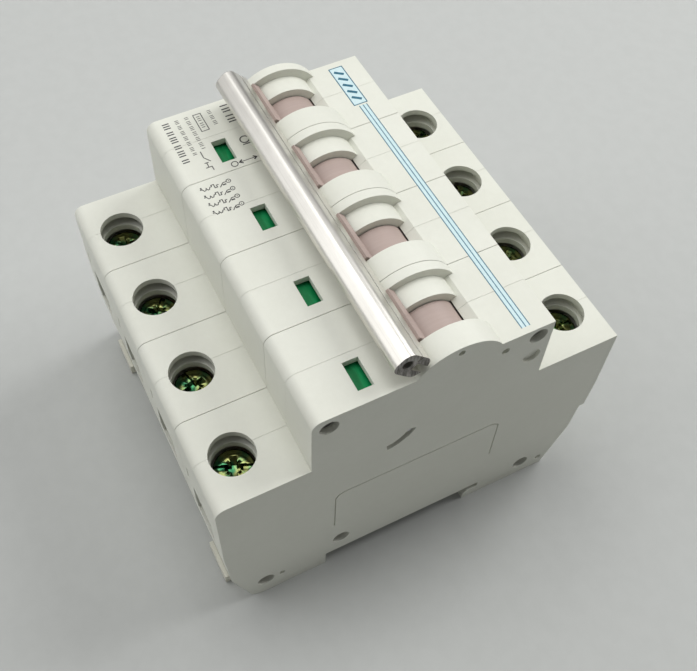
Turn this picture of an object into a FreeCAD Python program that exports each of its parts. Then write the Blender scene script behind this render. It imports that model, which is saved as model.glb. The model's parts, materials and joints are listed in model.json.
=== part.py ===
"""Four-pole miniature circuit breaker for 35 mm rail, lying on its back.

Millimetres.  +X runs across the four poles, +Y points to the line terminals, +Z to the
operating handle.  The origin is the middle of the breaker's footprint on its rear plane.
Every pole is built about its own middle plane (x = 0) and is then moved to its place by
its Placement, so the four poles stay alike.
"""
import FreeCAD, Part
import math
import os
import re

import Sketcher

doc = FreeCAD.newDocument("CircuitBreaker")
sheet = doc.addObject("Spreadsheet::Sheet", "Sizes")

SIZES = {
    # poles and moulded shells
    "pole_pitch": 18.0, "pole_width": 17.9, "split_x": -0.7, "split_gap": 0.03,
    "wall": 1.3, "side_wall": 1.2, "half_length": 39.55, "shelf_z": 44.0, "nose_z": 59.5,
    "nose_load": 22.15, "nose_line": 22.55, "corner": 2.0, "inner_floor": 5.9,
    "terminal_roof": 42.7,
    # rail seat and hook
    "rail_seat": 4.4, "rail_load_wall": 19.0, "rail_line_wall": 16.2, "hook_tip": 12.8,
    "hook_top": 2.9, "hook_relief": 0.1,
    # handle pivot, arches round it and the slot that the handle swings in
    "pivot_y": 4.35, "pivot_z": 54.5, "arch_rad": 9.4, "low_arch_rad": 7.7, "slot_rad": 6.5,
    "big_arch_wide": 1.95, "low_arch_end": -2.95, "slot_end": 4.2, "slot_wall_angle": 35.5,
    # handle
    "hub_rad": 6.2, "hub_start": -2.75, "hub_end": 4.0, "neck_half": 1.6, "arm_half": 2.3,
    "arm_start": -6.75, "arm_end": 3.95, "arm_foot": 7.95, "bar_foot": 9.75,
    "bar_top": 16.4, "bar_start": -34.5, "bar_end": 35.5, "bar_round": 1.75,
    "tenon_half": 0.7, "tenon_top": 12.4, "lean": 43.4, "crank_rad": 4.2,
    "crank_angle": 266.6, "wire_rad": 0.45, "axle_rad": 1.0, "running": 0.05,
    "bar_bore_z": 14.45, "bar_bore": 0.95, "bar_seam_foot": 12.75, "bar_seam_top": 13.1,
    # link
    "link_y": -5.982, "link_z": -9.922, "link_leg_x": -3.75, "link_top_long": 4.6,
    "link_foot_long": 2.9,
    # contact arm
    "arm_pivot_y": 6.5, "arm_pivot_z": 40.5, "pin_rad": 0.8, "open_angle": 18.0,
    "lane_start": -6.4, "lane_end": -4.6, "arm_slot_y": -5.432, "arm_slot_z": -0.860,
    "arm_slot_rad": 0.8, "arm_slot_drop": 1.3, "arm_slot_lean": 0.2, "finger_half": 0.9,
    "finger_tip": 17.3, "button_x": -2.7, "button_drop": 15.5, "button_rad": 1.4,
    "button_thick": 0.9,
    # indicator flag
    "flag_y": -13.0, "flag_z": 44.5, "flag_rad": 13.35, "flag_aim": 83.2, "flag_half": 7.5, "flag_swing": 15.0,
    "flag_arm_start": 4.4, "flag_arm_end": 7.2, "flag_hub": 1.8, "flag_head_thick": 2.0,
    "window_start": 0.75, "window_end": 6.45, "window_load": -12.85, "window_line": -9.95,
    # trip bar
    "trip_y": -8.65, "trip_z": 46.3, "trip_pin_reach": 6.4, "trip_pin_angle": -34.0,
    "trip_slot_from": -26.0, "trip_slot_to": -81.0, "trip_slot_half": 0.8,
    "trip_start": 0.9, "trip_end": 2.9, "trip_face": -1.9, "trip_hub": 2.5,
    "trip_pin_rad": 0.6, "trip_pin_half": 35.6,
    # magnetic release
    "coil_x": 1.8, "coil_z": 35.2, "coil_start": 12.2, "coil_end": 23.4,
    "coil_turn_rad": 0.75, "coil_mid_rad": 4.15, "bobbin_rad": 5.1, "bobbin_bore": 2.3,
    "coil_flange": 0.8, "coil_lead": 0.9, "coil_wrap": 0.3, "plunger_rad": 2.1,
    "plunger_start": 3.2, "plunger_long": 7.4, "push_rad": 0.8, "push_tip": -1.6,
    "yoke_plate": 1.0, "yoke_side": 3.4, "yoke_foot": 28.6, "yoke_wide": 10.4, "yoke_tall": 11.7,
    # thermal release
    "bimetal_y": -20.6, "bimetal_foot": 13.2, "bimetal_top": 36.4, "bimetal_half": 2.5,
    "bimetal_thick": 0.8, "braid_side": 6.2, "braid_z": 30.4, "braid_reach": 5.2,
    "braid_long": 17.2, "braid_wide": 1.5, "braid_thick": 1.2,
    # arc chute
    "plate_count": 11, "plate_pitch": 1.85, "plate_first": -12.0, "plate_thick": 0.8,
    "chute_floor": 6.4, "chute_top": 20.5, "plate_half": 6.4, "cheek_inner": 6.5, "cheek_thick": 0.6,
    # fixed contact
    "fixed_side": 5.0, "fixed_y": 9.4, "fixed_foot": 8.0, "fixed_wide": 8.0, "fixed_thick": 1.2,
    "fixed_tall": 21.4, "fixed_button_y": 8.4, "fixed_button_z": 25.0, "fixed_button_long": 1.1,
    # terminals
    "load_screw_y": -32.65, "line_screw_y": 33.35, "screw_x": 0.2, "well_rad": 4.15,
    "guide_foot": 39.3, "guide_thick": 1.4, "guide_in": 27.6, "guide_out": 38.15,
    "guide_gap": 0.2, "head_rad": 3.7, "head_top": 39.1, "head_thick": 1.6,
    "shank_rad": 2.5, "shank_foot": 31.3, "cage_half_x": 4.5, "cage_half_y": 3.9,
    "cage_foot": 21.5, "cage_top": 32.9, "cage_wall": 1.3, "strap_z": 30.0,
    "strap_thick": 1.2, "strap_half": 2.9, "load_tongue_y": -36.4, "load_tongue_long": 12.4,
    "load_drop_y": -25.2, "load_foot_z": 12.0, "load_foot_long": 5.2, "line_tongue_y": 25.6,
    "line_tongue_long": 11.6, "line_riser_tall": 7.0, "recess_half": 0.6, "recess_slot_deep": 1.1,
    "recess_cross_half": 2.4, "recess_cross_deep": 1.5, "entry_foot": 20.8, "entry_top": 29.8, "entry_half": 4.2,
    # rail clips
    "clip_half": 4.1, "clip_foot": 0.3, "clip_thick": 2.6, "clip_tab_thick": 1.9,
    "clip_outer": -38.65, "clip_tip": -16.3, "clip_room": 0.25,
    "stop_load": -30.6, "stop_line": -29.6, "stop_foot": 0.7, "stop_half": 1.8,
    "bay_load": -31.0, "bay_line": -22.0, "bay_half": 2.2, "tab_slot_half": 2.0,
    "tab_slot_from": 1.4, "tab_slot_to": 2.6, "clip_spring_y": -29.1, "clip_spring_long": 6.6,
    "clip_spring_z": 1.3, "clip_spring_rad": 0.75, "clip_spring_wire": 0.3,
    "clip_wrap_out": 0.85, "clip_wrap_in": 0.6,
    # engraved lines
    "line_load": -17.45, "line_line": 16.95, "line_top": 30.2, "line_foot": 16.8,
    "line_corner": 1.5, "line_wide": 0.26, "line_deep": 0.25,
    # short groove beside the handle slot and slit in the load end
    "groove_y": -5.2, "groove_from": 1.0, "groove_to": 7.3,
    "slit_x": -6.05, "slit_half": 0.35, "slit_top": 33.2, "slit_tall": 3.4,
    # rivets, pivot pins and torsion springs
    "rivet_rad": 1.5, "rivet_bore": 0.9, "rivet_hole": 1.75, "post_rad": 2.5, "rivet_sink": 1.2,
    "pin_half": 8.4, "flag_pin_x": 3.4, "flag_pin_long": 5.0, "seat_deep": 0.8, "seat_room": 0.03,
    "dimple_deep": 0.6, "torsion_wire": 0.6, "torsion_leg": 4.0,
}

for row, (name, number) in enumerate(SIZES.items(), start=1):
    sheet.set(f"A{row}", name)
    sheet.set(f"B{row}", str(number))
    sheet.setAlias(f"B{row}", name)
doc.recompute()

POLES = (1, 2, 3, 4)
RIVETS = {"nose_load": (-19.05, 56.5), "nose_line": (19.75, 56.9), "foot_load": (-31.9, 5.6),
          "floor": (-15.75, 9.6), "foot_line": (26.45, 4.6)}
SIDE_DIMPLES = ((19.55, 51.0, 1.7), (-28.45, 5.6, 0.6), (31.25, 3.1, 0.7),
                (13.4, 56.6, 0.75), (4.25, 62.3, 0.65))
WORD = re.compile(r"[a-z][a-z_]*")
nodes = {}


# ---------------------------------------------------------------- binding to the sheet

def linked(text):
    """Turn size names in an expression into references to the sheet."""
    def swap(found):
        word = found.group(0)
        return "Sizes." + word if word in SIZES else word
    return WORD.sub(swap, str(text))


def bind(thing, prop, text):
    thing.setExpression(prop, linked(text))


def place(thing, x="0", y="0", z="0", turn=None):
    """Put an object at x, y, z and, where asked, turn it about +X by an angle."""
    if turn is not None:
        thing.Placement = FreeCAD.Placement(FreeCAD.Vector(), FreeCAD.Rotation(FreeCAD.Vector(1, 0, 0), 1))
        bind(thing, "Placement.Rotation.Angle", turn)
    bind(thing, "Placement.Base.x", x)
    bind(thing, "Placement.Base.y", y)
    bind(thing, "Placement.Base.z", z)


def pole_x(pole):
    return f"pole_pitch * ({pole} - 2.5)"


def keep(thing, node):
    thing.Label = node
    nodes[node] = thing
    return thing


# ---------------------------------------------------------------- sketches and features

def new_body(name):
    return doc.addObject("PartDesign::Body", name)


def new_sketch(body, role, offset):
    """A sketch on one of the body's own origin planes, moved along that plane's normal."""
    sketch = body.newObject("Sketcher::SketchObject", "Sketch")
    plane = [item for item in body.Origin.OriginFeatures if item.Role == role][0]
    sketch.AttachmentSupport = (plane, [""])
    sketch.MapMode = "FlatFace"
    bind(sketch, "AttachmentOffset.Base.z", offset)
    return sketch


def set_point(sketch, edge, end, across, up):
    """Hold a point of an edge at a distance across and up from the sketch's origin."""
    first = sketch.addConstraint(Sketcher.Constraint("DistanceX", -1, 1, edge, end, 1.0 + edge))
    bind(sketch, f"Constraints[{first}]", across)
    second = sketch.addConstraint(Sketcher.Constraint("DistanceY", -1, 1, edge, end, 2.0 + edge))
    bind(sketch, f"Constraints[{second}]", up)


def add_outline(sketch, corners):
    """A closed outline of straight edges through corners given as (across, up)."""
    count = len(corners)
    start = sketch.GeometryCount
    ring = [FreeCAD.Vector(30 * math.cos(math.tau * k / count), 30 * math.sin(math.tau * k / count), 0)
            for k in range(count)]
    for k in range(count):
        sketch.addGeometry(Part.LineSegment(ring[k], ring[(k + 1) % count]), False)
    for k in range(count):
        following = start + (k + 1) % count
        sketch.addConstraint(Sketcher.Constraint("Coincident", start + k, 2, following, 1))
    for k, (across, up) in enumerate(corners):
        set_point(sketch, start + k, 1, across, up)


def add_circle(sketch, across, up, radius):
    edge = sketch.GeometryCount
    centre = FreeCAD.Vector(1.0 + edge, 2.0, 0)
    sketch.addGeometry(Part.Circle(centre, FreeCAD.Vector(0, 0, 1), 1.0), False)
    set_point(sketch, edge, 3, across, up)
    held = sketch.addConstraint(Sketcher.Constraint("Radius", edge, 1.0))
    bind(sketch, f"Constraints[{held}]", radius)


def rectangle(low_across, low_up, high_across, high_up):
    return [(low_across, low_up), (high_across, low_up), (high_across, high_up), (low_across, high_up)]


def extrude(body, kind, sketch, length):
    feature = body.newObject(f"PartDesign::{kind}", kind)
    feature.Profile = sketch
    bind(feature, "Length", length)
    return feature


def pad_x(body, start, end, outlines=(), circles=()):
    """Material between two X planes, from outlines and circles drawn in Y and Z."""
    sketch = new_sketch(body, "YZ_Plane", start)
    for corners in outlines:
        add_outline(sketch, corners)
    for circle in circles:
        add_circle(sketch, *circle)
    return extrude(body, "Pad", sketch, f"({end}) - ({start})")


def pocket_x(body, start, end, outlines=(), circles=()):
    """Remove what lies between two X planes inside outlines and circles in Y and Z."""
    sketch = new_sketch(body, "YZ_Plane", start)
    for corners in outlines:
        add_outline(sketch, corners)
    for circle in circles:
        add_circle(sketch, *circle)
    pocket = extrude(body, "Pocket", sketch, f"({end}) - ({start})")
    pocket.Reversed = True
    return pocket


def pocket_down(body, top, depth, outlines=(), circles=()):
    """Remove what lies under a Z plane, inside outlines and circles in X and Y."""
    sketch = new_sketch(body, "XY_Plane", top)
    for corners in outlines:
        add_outline(sketch, corners)
    for circle in circles:
        add_circle(sketch, *circle)
    return extrude(body, "Pocket", sketch, depth)


def round_edges(body, spots, radius):
    """Round the edges along X that run through the given (y, z) spots."""
    doc.recompute()
    last = body.Tip
    names = []
    for number, edge in enumerate(last.Shape.Edges, start=1):
        middle = edge.CenterOfMass
        along_x = edge.BoundBox.XLength > 1.0 and edge.BoundBox.YLength < 0.01 and edge.BoundBox.ZLength < 0.01
        if along_x and any(math.hypot(middle.y - y, middle.z - z) < 0.05 for y, z in spots):
            names.append(f"Edge{number}")
    fillet = body.newObject("PartDesign::Fillet", "Fillet")
    fillet.Base = (last, names)
    bind(fillet, "Radius", radius)


# ---------------------------------------------------------------- plain solids

def box(name, x, y, z, wide, deep, tall):
    solid = doc.addObject("Part::Box", name)
    place(solid, x, y, z)
    for prop, text in (("Length", wide), ("Width", deep), ("Height", tall)):
        bind(solid, prop, text)
    return solid


def cylinder(name, axis, x, y, z, radius, length):
    """A round bar that starts at x, y, z and runs along +X, +Y or +Z."""
    solid = doc.addObject("Part::Cylinder", name)
    turns = {"x": ((0, 1, 0), 90), "y": ((1, 0, 0), -90), "z": ((0, 0, 1), 0)}
    turn_axis, angle = turns[axis]
    solid.Placement = FreeCAD.Placement(FreeCAD.Vector(), FreeCAD.Rotation(FreeCAD.Vector(*turn_axis), angle))
    for prop, text in (("Placement.Base.x", x), ("Placement.Base.y", y), ("Placement.Base.z", z),
                       ("Radius", radius), ("Height", length)):
        bind(solid, prop, text)
    return solid


def ring_y(name, x, y, z, middle, section):
    """A torus whose axis runs along Y."""
    solid = doc.addObject("Part::Torus", name)
    solid.Placement = FreeCAD.Placement(FreeCAD.Vector(), FreeCAD.Rotation(FreeCAD.Vector(1, 0, 0), -90))
    for prop, text in (("Placement.Base.x", x), ("Placement.Base.y", y), ("Placement.Base.z", z),
                       ("Radius1", middle), ("Radius2", section)):
        bind(solid, prop, text)
    return solid


def ball(name, x, y, z, radius):
    solid = doc.addObject("Part::Sphere", name)
    place(solid, x, y, z)
    bind(solid, "Radius", radius)
    return solid


def fuse(name, solids):
    joined = doc.addObject("Part::MultiFuse", name)
    joined.Shapes = solids
    return joined


def cut(name, base, tool):
    result = doc.addObject("Part::Cut", name)
    result.Base = base
    result.Tool = tool
    return result


def group(node, solids):
    """Like pieces kept in one node as separate solids."""
    gathered = doc.addObject("Part::Compound", node)
    gathered.Links = solids
    return keep(gathered, node)


# ---------------------------------------------------------------- moulded shells

OUTLINE = [("-33.15", "0"), ("-35.05", "1.3"), ("-38.65", "12.7"), ("-39.35", "24"),
           ("-half_length", "42"), ("-half_length", "shelf_z"), ("-nose_load", "shelf_z"),
           ("-nose_load", "nose_z"), ("nose_line", "nose_z"), ("nose_line", "shelf_z"),
           ("half_length", "shelf_z"), ("39.25", "28.2"), ("38.55", "20"), ("37.4", "20"),
           ("36.65", "12.5"), ("32.7", "1.1"), ("32.4", "0"), ("hook_tip", "0"),
           ("hook_tip", "2.0"), ("hook_tip + 0.9", "hook_top"), ("rail_line_wall", "hook_top"),
           ("rail_line_wall", "rail_seat + hook_relief"), ("hook_tip - 0.2", "rail_seat + hook_relief"),
           ("hook_tip - 0.2", "rail_seat"), ("-rail_load_wall", "rail_seat"),
           ("-rail_load_wall", "0")]

CAVITY = [("-35.2", "inner_floor"), ("-37.2", "12.9"), ("-37.95", "24"),
          ("-half_length + wall", "terminal_roof"), ("-nose_load + wall", "terminal_roof"),
          ("-nose_load + wall", "nose_z - wall"), ("nose_line - wall", "nose_z - wall"),
          ("nose_line - wall", "terminal_roof"), ("half_length - wall", "terminal_roof"),
          ("37.65", "21.3"), ("35.9", "20.3"), ("35.2", "12.7"), ("32.9", "inner_floor")]


def swing_outline():
    """The room that the handle's arm sweeps, from its ON wall to its OFF wall."""
    far = "13"
    on_y = f"pivot_y + {far} * cos(slot_wall_angle)"
    on_z = f"pivot_z + {far} * sin(slot_wall_angle)"
    return [("pivot_y", "pivot_z"), (on_y, on_z), ("pivot_y", "pivot_z + 16"),
            ("pivot_y - 14", "pivot_z + 12"), ("pivot_y - 8.65", "nose_z"),
            ("pivot_y - 6.55", "nose_z - 2.2")]


def trip_slot_outline():
    """The curved slot that the trip pin moves in, as short straight runs."""
    steps = 6
    inner, outer = [], []
    for k in range(steps + 1):
        angle = f"(trip_slot_from + (trip_slot_to - trip_slot_from) * {k} / {steps})"
        for side, points in (("-", inner), ("+", outer)):
            reach = f"(trip_pin_reach {side} trip_slot_half)"
            points.append((f"trip_y + {reach} * cos{angle}", f"trip_z + {reach} * sin{angle}"))
    return inner + outer[::-1]


def shell(node, pole, start, end, outer_face, inward):
    """One moulded half of a pole, from its outer face to the parting plane."""
    body = new_body(node)
    pad_x(body, start, end, [OUTLINE])
    corner_spots = [(-SIZES["half_length"], SIZES["shelf_z"]), (-SIZES["nose_load"], SIZES["nose_z"])]
    round_edges(body, corner_spots, "corner")
    is_base = inward > 0
    wall_face = f"({outer_face}) + ({inward}) * side_wall"
    pocket_x(body, "arm_start - 0.2" if is_base else start, end if is_base else "slot_end", [swing_outline()])
    pivot = ("pivot_y", "pivot_z")
    if is_base:
        pad_x(body, start, f"{start} + big_arch_wide", circles=[(*pivot, "arch_rad")])
        pad_x(body, f"{start} + big_arch_wide", "low_arch_end", circles=[(*pivot, "low_arch_rad")])
        pocket_x(body, "low_arch_end", end, circles=[(*pivot, "slot_rad")])
        pocket_x(body, wall_face, end, [CAVITY])
    else:
        pad_x(body, "slot_end", end, circles=[(*pivot, "arch_rad")])
        pocket_x(body, start, "slot_end", circles=[(*pivot, "slot_rad")])
        pocket_x(body, start, wall_face, [CAVITY])
    posts = [(str(y), str(z)) for y, z in RIVETS.values()]
    for post in posts:
        pad_x(body, start, end, circles=[(*post, "post_rad")])
    pocket_x(body, start, end, circles=[(*post, "rivet_hole") for post in posts])
    low, high = (start, wall_face) if is_base else (wall_face, end)
    pocket_x(body, low, high, [trip_slot_outline()])
    cut_pin_seats(body, wall_face, inward)
    cut_dimples(body, outer_face, inward)
    cut_side_line(body, outer_face, inward)
    cut_terminals(body)
    cut_rail_clip_channel(body)
    stop = [rectangle("stop_load", "stop_foot", "stop_line", "clip_foot + clip_thick + 1")]
    low, high = (start, "stop_half") if not is_base else ("-stop_half", end)
    pad_x(body, low, high, stop)
    if not is_base:
        window = rectangle("window_start", "window_load", "window_end", "window_line")
        pocket_down(body, "nose_z", "wall + 0.4", [window])
        groove = rectangle("groove_from", "groove_y", "groove_to", "groove_y + line_wide")
        pocket_down(body, "nose_z", "line_deep", [groove])
    else:
        slit = rectangle("slit_x - slit_half", "-half_length - 1", "slit_x + slit_half", "-half_length + 0.8")
        pocket_down(body, "slit_top", "slit_tall", [slit])
    place(body, pole_x(pole))
    return keep(body, node)


def cut_pin_seats(body, wall_face, inward):
    """Blind seats in the side wall for the ends of the pivot pins."""
    seats = [("pivot_y", "pivot_z", "axle_rad + seat_room"),
             ("arm_pivot_y", "arm_pivot_z", "pin_rad + seat_room"),
             ("trip_y", "trip_z", "pin_rad + seat_room"), ("flag_y", "flag_z", "pin_rad + seat_room")]
    floor = f"{wall_face} - ({inward}) * seat_deep"
    low, high = (floor, wall_face) if inward > 0 else (wall_face, floor)
    pocket_x(body, low, high, circles=seats)


def cut_dimples(body, outer_face, inward):
    """Shallow moulding marks and locating holes on the outer side."""
    floor = f"{outer_face} + ({inward}) * dimple_deep"
    low, high = (outer_face, floor) if inward > 0 else (floor, outer_face)
    dimples = [(str(y), str(z), str(radius)) for y, z, radius in SIDE_DIMPLES]
    pocket_x(body, low, high, circles=dimples)


def cut_side_line(body, outer_face, inward):
    """The engraved line on the outer side: up, across with clipped corners, and down."""
    floor = f"{outer_face} + ({inward}) * line_deep"
    low, high = (outer_face, floor) if inward > 0 else (floor, outer_face)
    outer = [("line_load", "line_foot"), ("line_load", "line_top - line_corner"),
             ("line_load + 0.4 * line_corner", "line_top - 0.3 * line_corner"),
             ("line_load + 1.2 * line_corner", "line_top"), ("line_line - 1.2 * line_corner", "line_top"),
             ("line_line - 0.4 * line_corner", "line_top - 0.3 * line_corner"),
             ("line_line", "line_top - line_corner"), ("line_line", "line_foot")]
    half = len(outer) // 2
    inner = [(f"{y} + line_wide * {1 if k < half else -1}", z if z == "line_foot" else f"{z} - line_wide")
             for k, (y, z) in enumerate(outer)]
    pocket_x(body, low, high, [outer + inner[::-1]])


def cut_terminals(body):
    """Screw wells in the two shelves and wire entries in the two ends."""
    for screw_y in ("load_screw_y", "line_screw_y"):
        pocket_down(body, "shelf_z", "wall", circles=[("screw_x", screw_y, "well_rad")])
    for low, high in (("-half_length - 1", "-half_length + 4"), ("half_length - 4", "half_length + 1")):
        entry = rectangle("screw_x - entry_half", low, "screw_x + entry_half", high)
        pocket_down(body, "entry_top", "entry_top - entry_foot", [entry])


def cut_rail_clip_channel(body):
    """The open channel under the shell that a rail clip slides in."""
    channel = rectangle("-clip_half - clip_room", "-37", "clip_half + clip_room", "-rail_load_wall + 1")
    pocket_down(body, "clip_foot + clip_thick + clip_room", "8", [channel])


def make_shells(pole):
    base_face = "-pole_width / 2"
    cover_face = "pole_width / 2"
    shell(f"case_base_{pole}", pole, base_face, "split_x - split_gap / 2", base_face, 1)
    shell(f"case_cover_{pole}", pole, "split_x + split_gap / 2", cover_face, cover_face, -1)


# ---------------------------------------------------------------- handle and its link

def make_toggle(pole):
    """Handle of one pole, drawn upright about its axle and then leaned to OFF."""
    body = new_body(f"toggle_{pole}")
    pad_x(body, "hub_start", "hub_end", circles=[("0", "0", "hub_rad")])
    pad_x(body, "hub_start", "arm_end", [rectangle("-neck_half", "hub_rad - 2", "neck_half", "arm_foot + 0.3")])
    pad_x(body, "arm_start", "arm_end", [rectangle("-arm_half", "arm_foot", "arm_half", "bar_foot")])
    tenon = rectangle("-tenon_half", "bar_foot - 0.5", "tenon_half", "tenon_top")
    pad_x(body, "arm_start + 1", "arm_end - 1", [tenon])
    holes = [("0", "0", "axle_rad + running"),
             ("crank_rad * cos(crank_angle)", "crank_rad * sin(crank_angle)", "wire_rad + running")]
    pocket_x(body, "hub_start", "hub_end", circles=holes)
    place(body, pole_x(pole), "pivot_y", "pivot_z", "lean")
    return keep(body, f"toggle_{pole}")


def make_tie_bar():
    """Extruded bar across the four handles, slotted underneath for their tenons."""
    body = new_body("tie_bar")
    pad_x(body, "bar_start", "bar_end", [rectangle("-arm_half", "bar_foot", "arm_half", "bar_top")])
    half, foot, top = SIZES["arm_half"], SIZES["bar_foot"], SIZES["bar_top"]
    round_edges(body, [(-half, foot), (half, foot), (-half, top), (half, top)], "bar_round")
    channel = rectangle("-tenon_half - running", "bar_foot - 1", "tenon_half + running", "tenon_top + 0.2")
    seam = rectangle("bar_bore", "bar_seam_foot", "arm_half + 1", "bar_seam_top")
    pocket_x(body, "bar_start", "bar_end", [channel, seam])
    pocket_x(body, "bar_start", "bar_end", circles=[("0", "bar_bore_z", "bar_bore")])
    place(body, "0", "pivot_y", "pivot_z", "lean")
    return keep(body, "tie_bar")


def make_toggle_links():
    """Bent wire of each pole, from the handle's crank to the contact arm."""
    links = []
    turned = "(crank_angle + lean)"
    top_y = f"pivot_y + crank_rad * cos{turned}"
    top_z = f"pivot_z + crank_rad * sin{turned}"
    foot_y = f"{top_y} + link_y"
    foot_z = f"{top_z} + link_z"
    slope = math.degrees(math.atan2(-SIZES["link_y"], -SIZES["link_z"]))
    for pole in POLES:
        leg_x = f"{pole_x(pole)} + link_leg_x"
        upper = cylinder("LinkTop", "x", leg_x, top_y, top_z, "wire_rad", "link_top_long")
        lower = cylinder("LinkFoot", "x", f"{leg_x} - link_foot_long", foot_y, foot_z, "wire_rad",
                         "link_foot_long")
        leg = cylinder("LinkLeg", "z", leg_x, top_y, top_z, "wire_rad", "sqrt(link_y ^ 2 + link_z ^ 2)")
        leg.Placement.Rotation = FreeCAD.Rotation(FreeCAD.Vector(1, 0, 0), 180 - slope)
        elbows = [ball("Elbow", leg_x, y, z, "wire_rad") for y, z in ((top_y, top_z), (foot_y, foot_z))]
        links.append(fuse("Link", [upper, leg, lower, *elbows]))
    return group("toggle_links", links)


# ---------------------------------------------------------------- contact arm, flag, trip bar

def make_contact_arm(pole):
    """Moving contact arm, drawn closed about its pivot and then swung open."""
    body = new_body(f"contact_arm_{pole}")
    plate = [("-7.7", "1.7"), ("-2", "2.3"), ("2.1", "2.3"), ("2.1", "-2.4"), ("finger_half", "-4.5"),
             ("finger_half", "-finger_tip"), ("-finger_half", "-finger_tip"), ("-finger_half", "-4.5"),
             ("-3", "-3.9"), ("-7.7", "-3.6")]
    pad_x(body, "lane_start", "lane_end", [plate])
    pad_x(body, "lane_start", "-1", [rectangle("-finger_half", "-finger_tip", "finger_half", "-12")])
    sketch = new_sketch(body, "XZ_Plane", "-finger_half")
    add_circle(sketch, "button_x", "-button_drop", "button_rad")
    button = extrude(body, "Pad", sketch, "button_thick")
    button.Reversed = True
    low = "arm_slot_z - arm_slot_drop"
    holes = [("0", "0", "pin_rad + running")]
    pocket_x(body, "lane_start", "lane_end", circles=holes)
    pocket_x(body, "lane_start", "lane_end", circles=[("arm_slot_y", "arm_slot_z", "arm_slot_rad")])
    pocket_x(body, "lane_start", "lane_end", circles=[("arm_slot_y + arm_slot_lean", low, "arm_slot_rad")])
    run = [("arm_slot_y - arm_slot_rad", "arm_slot_z"), ("arm_slot_y + arm_slot_rad", "arm_slot_z"),
           ("arm_slot_y + arm_slot_lean + arm_slot_rad", low), ("arm_slot_y + arm_slot_lean - arm_slot_rad", low)]
    pocket_x(body, "lane_start", "lane_end", [run])
    place(body, pole_x(pole), "arm_pivot_y", "arm_pivot_z", "-open_angle")
    return keep(body, f"contact_arm_{pole}")


def make_flag(pole):
    """Two-colour indicator under the window: a curved head on a thin arm."""
    body = new_body(f"indicator_flag_{pole}")
    steps = 6
    first, last = "(flag_aim - flag_half)", "(flag_aim + flag_swing + 6.3)"
    head_low, head_high = [], []
    for k in range(steps + 1):
        angle = f"({first} + ({last} - {first}) * {k} / {steps})"
        head_high.append((f"flag_rad * cos{angle}", f"flag_rad * sin{angle}"))
        head_low.append((f"(flag_rad - flag_head_thick) * cos{angle}",
                         f"(flag_rad - flag_head_thick) * sin{angle}"))
    pad_x(body, "window_start - 0.4", "flag_arm_end", [head_low + head_high[::-1]])
    pad_x(body, "flag_arm_start", "flag_arm_end", [[("-1.2", "0"), ("1.2", "0"), ("1.4", "11.8"), ("-1.8", "11.8")]])
    pad_x(body, "flag_arm_start", "flag_arm_end", circles=[("0", "0", "flag_hub")])
    pocket_x(body, "flag_arm_start", "flag_arm_end", circles=[("0", "0", "pin_rad + running")])
    place(body, pole_x(pole), "flag_y", "flag_z")
    return keep(body, f"indicator_flag_{pole}")


def make_trip_levers():
    """Levers that let the latch go, one in each pole, joined by the trip pin."""
    levers = []
    for pole in POLES:
        body = new_body("TripLever")
        pin_y = "trip_pin_reach * cos(trip_pin_angle)"
        pin_z = "trip_pin_reach * sin(trip_pin_angle)"
        pad_x(body, "trip_start", "trip_end", circles=[("0", "0", "trip_hub")])
        tongue = [("-1.5", "-1.2"), ("1.2", "1.4"), (f"{pin_y} + 0.9", f"{pin_z} + 1"),
                  (f"{pin_y} + 0.3", f"{pin_z} - 1.4")]
        pad_x(body, "trip_start", "trip_end", [tongue])
        face = "trip_face - trip_y"
        pad_x(body, "trip_start", "trip_end", [[("-1.5", "-0.8"), ("1.5", "-0.8"), (face, "-8"),
                                                (face, "-12.6"), (f"{face} - 1.6", "-12.6")]])
        hook = [("5", "-8"), ("-14.6", "-8"), ("-14.6", "-11"), ("-13.6", "-11"), ("-13.6", "-9.2"),
                ("5", "-9.2")]
        pad_x(body, "trip_start", "trip_end", [hook])
        pocket_x(body, "trip_start", "trip_end", circles=[("0", "0", "pin_rad + running")])
        pocket_x(body, "trip_start", "trip_end", circles=[(pin_y, pin_z, "trip_pin_rad")])
        place(body, pole_x(pole), "trip_y", "trip_z")
        levers.append(body)
    return group("trip_levers", levers)


def make_trip_pin():
    """Rod through the curved slots of all poles, so that they trip together."""
    pin_y = "trip_y + trip_pin_reach * cos(trip_pin_angle)"
    pin_z = "trip_z + trip_pin_reach * sin(trip_pin_angle)"
    rod = cylinder("TripPin", "x", "-trip_pin_half", pin_y, pin_z, "trip_pin_rad", "2 * trip_pin_half")
    return keep(rod, "trip_pin")


# ---------------------------------------------------------------- current path

def make_strap(pole, side):
    """Copper strap from the terminal cage to the release or the coil."""
    x = f"{pole_x(pole)} + screw_x - strap_half"
    if side == "load":
        tongue = box("Tongue", x, "load_tongue_y", "strap_z", "2 * strap_half", "load_tongue_long",
                     "strap_thick")
        drop = box("Drop", x, "load_drop_y", "load_foot_z", "2 * strap_half", "strap_thick",
                   "strap_z - load_foot_z + strap_thick")
        foot = box("Foot", x, "load_drop_y", "load_foot_z", "2 * strap_half", "load_foot_long",
                   "strap_thick")
        return fuse("LoadStrap", [tongue, drop, foot])
    tongue = box("Tongue", x, "line_tongue_y", "strap_z", "2 * strap_half", "line_tongue_long",
                 "strap_thick")
    riser = box("Riser", x, "line_tongue_y", "strap_z", "2 * strap_half", "strap_thick",
                "line_riser_tall")
    return fuse("LineStrap", [tongue, riser])


def make_fixed_contact(pole):
    middle = pole_x(pole)
    plate = box("Plate", f"{middle} - fixed_side", "fixed_y", "fixed_foot", "fixed_wide", "fixed_thick",
                "fixed_tall")
    button = cylinder("Button", "y", f"{middle} + button_x", "fixed_button_y", "fixed_button_z",
                      "button_rad", "fixed_button_long")
    return fuse("FixedContact", [plate, button])


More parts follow.
